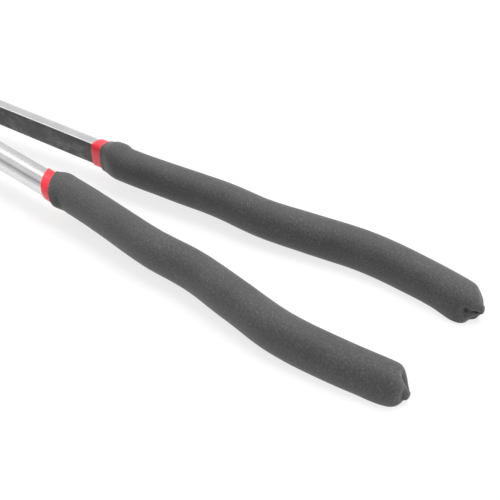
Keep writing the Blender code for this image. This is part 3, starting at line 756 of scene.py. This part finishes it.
def on_sphere(radius, polar):
    """A sphere's (radius, height) profile point at an angle from its pole."""
    return (radius * math.sin(polar), radius * math.cos(polar))


def cup_mesh():
    """A stamped round cup with a flat back, rolled hole edges and rivet holes."""
    inner_seat = CUP_SEAT - CUP_WALL
    outer_angle = math.asin(CUP_FLAT_RADIUS / CUP_OUT)
    inner_angle = math.acos(inner_seat / CUP_IN)
    profile = [(0.0, CUP_SEAT)]
    profile += [on_sphere(CUP_OUT, a) for a in steps_between(outer_angle, CUP_HALF_ANGLE, 24)]
    profile += [on_sphere(CUP_IN, a) for a in steps_between(CUP_HALF_ANGLE, inner_angle, 24)]
    profile.append((0.0, inner_seat))
    tools = []
    for azimuth in DRAIN_AZIMUTHS:
        aim = Matrix.Rotation(azimuth, 4, "Z") @ Matrix.Rotation(DRAIN_POLAR, 4, "Y")
        drill = cylinder(DRAIN_RADIUS, CUP_IN - THROUGH, CUP_OUT + THROUGH, aim, 48)
        tools.append(("DIFFERENCE", drill))
    for side in (-1, 1):
        place = Matrix.Translation((side * RIVET_SPACING / 2, 0.0, 0.0))
        low, high = CUP_SEAT - CUP_WALL - THROUGH, CUP_SEAT + THROUGH
        tools.append(("DIFFERENCE", cylinder(RIVET_RADIUS + CLEARANCE, low, high, place, 32)))
    return softened(combined(turned(profile, FINE_SIDES), *tools), CUP_VOXEL, CUP_PASSES)


def lining_mesh():
    """The soft ribbed band inside the cup that bears on the ball."""
    low, high = math.radians(45.0), math.radians(59.5)
    corner = 0.9 * MM
    outer = [on_sphere(LINING_OUT, a) for a in steps_between(low, high, 12)]
    inner = []
    for k, angle in enumerate(steps_between(high, low, 48)):
        wave = math.cos(2 * math.pi * LINING_GROOVES * k / 48)
        inner.append(on_sphere(LINING_IN + GROOVE_DEPTH * max(0.0, wave) ** 2, angle))
    ends = [on_sphere(LINING_OUT - corner, high + 0.02), on_sphere(LINING_IN + corner, high + 0.02)]
    starts = [on_sphere(LINING_IN + corner, low - 0.02), on_sphere(LINING_OUT - corner, low - 0.02)]
    return turned(outer + ends + inner + starts, FINE_SIDES)


def trim_mesh():
    """The soft channel pushed over the cup's rim."""
    out, into, wall = CUP_OUT + CLEARANCE, CUP_IN - CLEARANCE, TRIM_WALL
    outer_start, inner_start = math.radians(58.5), math.radians(61.5)
    slot_end, crest = math.radians(64.8), math.radians(67.3)
    corners = [
        on_sphere(out, outer_start),
        on_sphere(out + wall * 0.75, outer_start),
        on_sphere(out + wall * 0.97, inner_start),
        on_sphere(out + wall * 0.97, crest),
        on_sphere(into - wall * 0.97, crest),
        on_sphere(into - wall * 0.97, inner_start),
        on_sphere(into, inner_start),
        on_sphere(into, slot_end),
        on_sphere(out, slot_end),
    ]
    return turned(rounded(corners, 0.9 * MM, 6), FINE_SIDES)


def rivet_mesh():
    """Domed head on the spade and a hammered tail inside the cup."""
    head = SPADE_FACE + SPADE_DEPTH + CLEARANCE
    tail = CUP_SEAT - CUP_WALL - CLEARANCE
    dome = [(RIVET_HEAD_RADIUS * math.sin(a), head + 0.25 * MM + RIVET_HEAD_RISE * math.cos(a))
            for a in steps_between(0.0, math.pi / 2, 12)]
    stem = [(RIVET_HEAD_RADIUS - 0.15 * MM, head), (RIVET_RADIUS, head), (RIVET_RADIUS, tail)]
    hammered = [(2.45 * MM, tail), (2.6 * MM, tail - 0.2 * MM), (2.35 * MM, tail - 0.6 * MM),
                (1.6 * MM, tail - 0.78 * MM), (0.0, tail - 0.8 * MM)]
    return turned(dome + stem + hammered, 48)


# ---- pivot

def hexagon(low, high, chamfer_low, chamfer_high):
    """A hexagon prism with its corners turned off where asked."""
    corner = HEX_ACROSS / math.sqrt(3)
    flat = HEX_CHAMFER_RADIUS
    drop = (corner - flat) * math.tan(math.radians(30.0))
    profile = [(0.0, high)]
    profile += [(flat, high), (corner, high - drop)] if chamfer_high else [(corner, high)]
    profile += [(corner, low + drop), (flat, low)] if chamfer_low else [(corner, low)]
    profile.append((0.0, low))
    mesh = combined(cylinder(corner, low, high, sides=6), ("INTERSECT", turned(profile)))
    bm = bmesh.new()
    bm.from_mesh(mesh)
    bmesh.ops.dissolve_limit(bm, angle_limit=math.radians(1.0), verts=bm.verts, edges=bm.edges)
    bm.to_mesh(mesh)
    bm.free()
    return mesh


def threaded_rod(top, end):
    """The bolt's shank, with a cut thread towards its end."""
    thread_top = end + THREAD_LENGTH
    sides = 64
    heights = [top] + steps_between(thread_top, end, 90)
    rings = []
    for height in heights:
        ring = []
        for j in range(sides):
            turn = 2 * math.pi * j / sides
            phase = (height / THREAD_PITCH + j / sides) % 1.0
            cut = THREAD_DEPTH * abs(2 * phase - 1) if height <= thread_top else 0.0
            point_off = THREAD_POINT * ease((end + THREAD_POINT - height) / THREAD_POINT)
            size = BOLT_RADIUS - max(cut, point_off)
            ring.append((size * math.cos(turn), size * math.sin(turn), height))
        rings.append(ring)
    return skin(rings)


def bolt_mesh():
    """The bolt, its head's flat top at the origin."""
    head = bevelled(hexagon(-BOLT_HEAD_HEIGHT, 0.0, False, True), 0.15 * MM)
    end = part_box("pivot_bolt")[0].z
    return joined(head, threaded_rod(0.1 * MM - BOLT_HEAD_HEIGHT, end))


def nut_mesh():
    """A lock nut: a hexagon with a round collar that holds the locking ring."""
    low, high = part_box("pivot_nut")
    collar_top = low.z + NUT_COLLAR_HEIGHT
    hex_part = hexagon(collar_top, high.z, True, True)
    root = collar_top + 1 * MM
    collar = turned(rounded([(PIVOT_BORE, root), (NUT_COLLAR_RADIUS, root),
                             (NUT_COLLAR_RADIUS, low.z), (PIVOT_BORE, low.z)], 0.3 * MM))
    bore = cylinder(PIVOT_BORE, low.z - THROUGH, high.z + THROUGH)
    groove = cylinder(LOCK_RING_RADIUS, low.z - THROUGH, low.z + LOCK_RING_DEPTH)
    hollow = combined(hex_part, ("DIFFERENCE", bore))
    rim = combined(collar, ("DIFFERENCE", groove))
    return joined(bevelled(hollow, 0.12 * MM), rim)


def washer_mesh(node, edge=0.2 * MM, dish=0.0):
    """A turned washer or bush that fills its CAD node's box, high at the bore where dished."""
    low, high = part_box(node)
    outer = (high.x - low.x) / 2
    corners = [(PIVOT_BORE, high.z), (outer, high.z - dish), (outer, low.z),
               (PIVOT_BORE, low.z + dish)]
    return turned(rounded(corners, edge))


# ---- materials

def fill_ramp(ramp, stops):
    """The ramp's stops from (position, colour or grey value) pairs in order."""
    elements = ramp.elements
    elements[0].position, elements[-1].position = stops[0][0], stops[-1][0]
    for position, _ in stops[1:-1]:
        elements.new(position)
    for element, (_, value) in zip(elements, stops):
        colour = value if isinstance(value, tuple) else (value, value, value)
        element.color = (*colour, 1.0)


class Surface:
    """Node-building helper for one procedural material, which carries its slot's name."""

    def __init__(self, name, colour, roughness, metallic):
        self.material = bpy.data.materials.new("fine_" + name)
        self.material["slot"] = name
        self.material.use_nodes = True
        self.tree = self.material.node_tree
        self.shader = self.tree.nodes["Principled BSDF"]
        self.shader.inputs["Base Color"].default_value = (*colour, 1.0)
        self.shader.inputs["Roughness"].default_value = roughness
        self.shader.inputs["Metallic"].default_value = metallic
        self.coords = self.tree.nodes.new("ShaderNodeTexCoord")

    def noise(self, scale, detail=3.0, stretch=(1.0, 1.0, 1.0), roughness=0.5):
        """Noise fixed to the object."""
        mapping = self.tree.nodes.new("ShaderNodeMapping")
        mapping.inputs["Scale"].default_value = stretch
        made = self.tree.nodes.new("ShaderNodeTexNoise")
        made.inputs["Scale"].default_value = scale
        made.inputs["Detail"].default_value = detail
        made.inputs["Roughness"].default_value = roughness
        self.tree.links.new(self.coords.outputs["Object"], mapping.inputs["Vector"])
        self.tree.links.new(mapping.outputs["Vector"], made.inputs["Vector"])
        return made.outputs["Fac"]

    def ramp(self, source, stops):
        """A colour ramp over (position, colour or value) stops."""
        made = self.tree.nodes.new("ShaderNodeValToRGB")
        fill_ramp(made.color_ramp, stops)
        self.tree.links.new(source, made.inputs["Fac"])
        return made.outputs["Color"]

    def creases(self, stops):
        """A ramp over the surface's hollows, below 0.5, and ridges, above it."""
        shape = self.tree.nodes.new("ShaderNodeNewGeometry")
        return self.ramp(shape.outputs["Pointiness"], stops)

    def multiplied(self, product, *colours):
        """The colours multiplied together."""
        for colour in colours:
            made = self.tree.nodes.new("ShaderNodeMixRGB")
            made.blend_type = "MULTIPLY"
            made.inputs["Fac"].default_value = 1.0
            self.tree.links.new(product, made.inputs["Color1"])
            self.tree.links.new(colour, made.inputs["Color2"])
            product = made.outputs["Color"]
        return product

    def set(self, socket, source):
        """The source linked to the shader's socket."""
        self.tree.links.new(source, self.shader.inputs[socket])

    def bump(self, *layers):
        """Bump from (source, strength, distance) layers, one on top of another."""
        previous = None
        for source, strength, distance in layers:
            made = self.tree.nodes.new("ShaderNodeBump")
            made.inputs["Strength"].default_value = strength
            made.inputs["Distance"].default_value = distance
            self.tree.links.new(source, made.inputs["Height"])
            if previous:
                self.tree.links.new(previous, made.inputs["Normal"])
            previous = made.outputs["Normal"]
        self.tree.links.new(previous, self.shader.inputs["Normal"])


def plated_steel():
    """Bright zinc plate over a drawn bar: fine lengthwise lines and a faint mottle."""
    made = Surface("plated_steel", (0.74, 0.74, 0.74), 0.2, 1.0)
    mottle = made.noise(90.0, 4.0)
    lines = made.noise(60.0, 4.0, stretch=(1.5, 60.0, 60.0))
    made.set("Base Color", made.ramp(mottle, [(0.3, 0.68), (0.7, 0.78)]))
    made.set("Roughness", made.ramp(lines, [(0.3, 0.16), (0.7, 0.27)]))
    made.bump((lines, 0.12, 0.02 * MM), (made.noise(700.0, 2.0), 0.08, 0.01 * MM))
    return made.material


def raw_flat():
    """The bar's flat as rolled: dark scale, dull and blotchy."""
    made = Surface("raw_steel_flat", (0.06, 0.06, 0.06), 0.6, 0.35)
    blotch = made.noise(160.0, 6.0, stretch=(0.5, 1.0, 1.0), roughness=0.75)
    made.set("Base Color", made.ramp(blotch, [(0.3, 0.055), (0.5, 0.10), (0.7, 0.24)]))
    made.set("Roughness", made.ramp(blotch, [(0.3, 0.5), (0.7, 0.75)]))
    made.bump((blotch, 0.3, 0.05 * MM), (made.noise(1500.0, 2.0), 0.2, 0.02 * MM))
    return made.material


def black_vinyl():
    """Matte black dip with a fine pebbled skin, paler specks, soft patches, and painted shade in its
    hollows and painted highlight on its ridges.
    """
    made = Surface("black_vinyl", (0.06, 0.06, 0.06), 0.7, 0.0)
    fine = made.noise(1400.0, 3.0, roughness=0.6)
    cloud = made.noise(70.0, 4.0)
    grain = made.ramp(fine, [(0.35, 0.064), (0.55, 0.088), (0.75, 0.15)])
    patches = made.ramp(cloud, [(0.35, 0.78), (0.65, 1.0)])
    # Painted shade and highlight: the base colour is darkened in the coat's hollows and creases, where
    # shade falls, and lightened on its ridges
    painted_crease_shading = made.creases([(0.47, 0.25), (0.494, 0.73), (0.506, 0.77), (0.535, 1.0)])
    made.set("Base Color", made.multiplied(grain, patches, painted_crease_shading))
    made.set("Roughness", made.ramp(cloud, [(0.3, 0.62), (0.7, 0.8)]))
    made.shader.inputs["Specular IOR Level"].default_value = 0.35
    made.shader.inputs["Sheen Weight"].default_value = 0.25
    made.shader.inputs["Sheen Roughness"].default_value = 0.5
    made.bump((cloud, 0.2, 0.2 * MM), (made.noise(420.0, 3.0), 0.22, 0.08 * MM), (fine, 0.5, 0.04 * MM))
    return made.material


def red_vinyl():
    """Glossy red dip."""
    made = Surface("red_vinyl", (0.82, 0.018, 0.038), 0.36, 0.0)
    cloud = made.noise(220.0, 3.0)
    made.set("Base Color", made.ramp(cloud, [(0.3, (0.78, 0.016, 0.034)), (0.7, (0.88, 0.026, 0.05))]))
    made.shader.inputs["Coat Weight"].default_value = 0.25
    made.shader.inputs["Coat Roughness"].default_value = 0.2
    made.bump((cloud, 0.15, 0.08 * MM))
    return made.material


def plated_sheet():
    """Zinc-plated stamped sheet."""
    made = Surface("cup_steel", (0.68, 0.69, 0.70), 0.28, 1.0)
    mottle = made.noise(60.0, 4.0)
    made.set("Base Color", made.ramp(mottle, [(0.3, (0.60, 0.61, 0.63)), (0.7, (0.72, 0.72, 0.73))]))
    made.set("Roughness", made.ramp(made.noise(300.0, 4.0), [(0.3, 0.22), (0.7, 0.36)]))
    made.bump((made.noise(260.0, 3.0), 0.12, 0.03 * MM))
    return made.material


def zinc_hardware():
    """Zinc-plated fasteners with a slight yellow cast in places."""
    made = Surface("zinc_hardware", (0.62, 0.63, 0.64), 0.34, 1.0)
    mottle = made.noise(350.0, 4.0)
    made.set("Base Color", made.ramp(mottle, [(0.3, (0.55, 0.56, 0.58)), (0.7, (0.70, 0.69, 0.66))]))
    made.set("Roughness", made.ramp(mottle, [(0.3, 0.26), (0.7, 0.42)]))
    made.bump((made.noise(900.0, 3.0), 0.15, 0.02 * MM))
    return made.material


def bearing_bronze():
    """Sintered bronze of the bushes and the joint's washer."""
    made = Surface("bronze", (0.55, 0.36, 0.16), 0.4, 1.0)
    grain = made.noise(800.0, 3.0)
    made.set("Base Color", made.ramp(grain, [(0.3, (0.48, 0.30, 0.13)), (0.7, (0.60, 0.41, 0.19))]))
    made.set("Roughness", made.ramp(grain, [(0.3, 0.32), (0.7, 0.5)]))
    return made.material


def nylon():
    """Blue nylon of the nut's locking ring."""
    made = Surface("nylon", (0.10, 0.17, 0.45), 0.5, 0.0)
    grain = made.noise(600.0, 2.0)
    made.set("Base Color", made.ramp(grain, [(0.3, (0.08, 0.14, 0.40)), (0.7, (0.12, 0.20, 0.50))]))
    made.bump((grain, 0.1, 0.02 * MM))
    return made.material


# ---- assembly

def build_sides(looks):
    """Each side's lever with its coats, cup and rivets."""
    forged = forging()
    cup, lining, trim, rivet = cup_mesh(), lining_mesh(), trim_mesh(), rivet_mesh()
    for number, (side, pose) in enumerate(LEVER_POSES.items()):
        body = side + "_lever"
        cup_pose = pose @ CUP_POSE
        lever = lever_mesh(forged, DIPS[side])
        red, black = red_coat(DIPS[side]), black_coat(DIPS[side], 10.0 + 7.0 * number)
        pieces = [
            ("lever", lever, pose, [looks["steel"], looks["flat"]]),
            ("grip_base", red, pose, [looks["red"]]),
            ("grip_cover", black, pose, [looks["black"]]),
            ("cup", cup, cup_pose, [looks["sheet"]]),
            ("cup_lining", lining, cup_pose, [looks["black"]]),
            ("cup_trim", trim, cup_pose, [looks["red"]]),
        ]
        for name, mesh, where, materials in pieces:
            node = f"{name}_{side}"
            show("fine_" + node, mesh, where, materials, body, node)
        for place, sign in (("rear", -1), ("front", 1)):
            node = f"cup_rivet_{place}_{side}"
            where = cup_pose @ Matrix.Translation((sign * RIVET_SPACING / 2, 0.0, 0.0))
            show("fine_" + node, rivet, where, [looks["zinc"]], body, node)


def build_pivot(looks):
    """The pivot's hardware, all on the left lever but the right lever's bush."""
    here = Matrix.Identity(4)
    pieces = [
        ("pivot_bolt", bolt_mesh(), "zinc", "left_lever"),
        ("pivot_nut", nut_mesh(), "zinc", "left_lever"),
        ("head_washer", washer_mesh("head_washer"), "zinc", "left_lever"),
        ("spring_washer", washer_mesh("spring_washer", dish=0.6 * MM), "zinc", "left_lever"),
        ("joint_washer", washer_mesh("joint_washer", 0.1 * MM), "bronze", "left_lever"),
        ("nut_lock_ring", washer_mesh("nut_lock_ring", 0.1 * MM), "nylon", "left_lever"),
        ("pivot_bush_left", washer_mesh("pivot_bush_left"), "bronze", "left_lever"),
        ("pivot_bush_right", washer_mesh("pivot_bush_right"), "bronze", "right_lever"),
    ]
    for node, mesh, look, body in pieces:
        show("fine_" + node, mesh, here, [looks[look]], body, node)


def build_stage():
    """A pale floor that the tool lies on, tipped to touch the cups and the grips."""
    cups = min(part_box("cup_trim_left")[0].z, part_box("cup_trim_right")[0].z)
    grips = min(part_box("grip_cover_left")[0].z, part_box("grip_cover_right")[0].z)
    front, rear = BALL_CENTRE, -TIP_DISTANCE + 0.5 * GRIP_LENGTH
    tip = math.atan2(grips - cups, front - rear)
    bm = bmesh.new()
    bmesh.ops.create_grid(bm, x_segments=1, y_segments=1, size=FLOOR_SIZE)
    mesh = bpy.data.meshes.new("floor")
    bm.to_mesh(mesh)
    bm.free()
    floor = bpy.data.objects.new("floor", mesh)
    bpy.context.scene.collection.objects.link(floor)
    floor.rotation_euler = (0.0, tip, 0.0)
    floor.location = (front, 0.0, cups - 0.2 * MM)
    look = bpy.data.materials.new("pale_floor")
    look.use_nodes = True
    shader = look.node_tree.nodes["Principled BSDF"]
    shader.inputs["Base Color"].default_value = FLOOR_GREY
    shader.inputs["Roughness"].default_value = 0.9
    shader.inputs["Specular IOR Level"].default_value = 0.0
    shader.inputs["Emission Color"].default_value = (1.0, 1.0, 1.0, 1.0)
    shader.inputs["Emission Strength"].default_value = FLOOR_GLOW
    mesh.materials.append(look)


def area_light(name, place, target, size, power):
    """A rectangular light at a place, facing a target."""
    light = bpy.data.lights.new(name, "AREA")
    light.shape = "RECTANGLE"
    light.size, light.size_y = size
    light.energy = power
    obj = bpy.data.objects.new(name, light)
    bpy.context.scene.collection.objects.link(obj)
    obj.location = place
    obj.rotation_euler = (Vector(target) - Vector(place)).to_track_quat("-Z", "Y").to_euler()


def build_world():
    """A pale studio whose brightness goes by the angle about the tool's length."""
    world = bpy.data.worlds.new("studio")
    bpy.context.scene.world = world
    world.use_nodes = True
    tree = world.node_tree
    coords = tree.nodes.new("ShaderNodeTexCoord")
    split = tree.nodes.new("ShaderNodeSeparateXYZ")
    angle = tree.nodes.new("ShaderNodeMath")
    angle.operation = "ARCTAN2"
    share = tree.nodes.new("ShaderNodeMath")
    share.operation = "DIVIDE"
    share.inputs[1].default_value = math.pi
    ramp = tree.nodes.new("ShaderNodeValToRGB")
    ramp.color_ramp.interpolation = "B_SPLINE"
    brightest = max(value for _, value in STUDIO_BANDS)
    fill_ramp(ramp.color_ramp, [(degrees / 180, value / brightest) for degrees, value in STUDIO_BANDS])
    tree.links.new(coords.outputs["Generated"], split.inputs[0])
    tree.links.new(split.outputs["Z"], angle.inputs[0])
    tree.links.new(split.outputs["Y"], angle.inputs[1])
    tree.links.new(angle.outputs[0], share.inputs[0])
    tree.links.new(share.outputs[0], ramp.inputs["Fac"])
    tree.links.new(ramp.outputs["Color"], tree.nodes["Background"].inputs["Color"])
    tree.nodes["Background"].inputs["Strength"].default_value = STUDIO_STRENGTH * brightest


def build_lights():
    """A soft key light from above the far grip."""
    area_light("key", HANDLES_MIDDLE + KEY_OFFSET, HANDLES_MIDDLE, KEY_SIZE, KEY_POWER)


def build_camera():
    """The view over the handles' ends, looking back along the tool from above."""
    camera = bpy.data.cameras.new("camera")
    camera.lens = LENS
    camera.sensor_width = SENSOR
    camera.clip_start = 0.01
    obj = bpy.data.objects.new("camera", camera)
    bpy.context.scene.collection.objects.link(obj)
    obj.location = PIVOT + CAMERA_OFFSET
    obj.rotation_euler = (TARGET_OFFSET - CAMERA_OFFSET).to_track_quat("-Z", "Y").to_euler()
    bpy.context.scene.camera = obj


def main():
    looks = {
        "steel": plated_steel(),
        "flat": raw_flat(),
        "black": black_vinyl(),
        "red": red_vinyl(),
        "sheet": plated_sheet(),
        "zinc": zinc_hardware(),
        "bronze": bearing_bronze(),
        "nylon": nylon(),
    }
    build_camera()
    build_sides(looks)
    build_pivot(looks)
    build_stage()
    build_world()
    build_lights()
    bpy.context.scene.view_settings.view_transform = "Standard"


main()
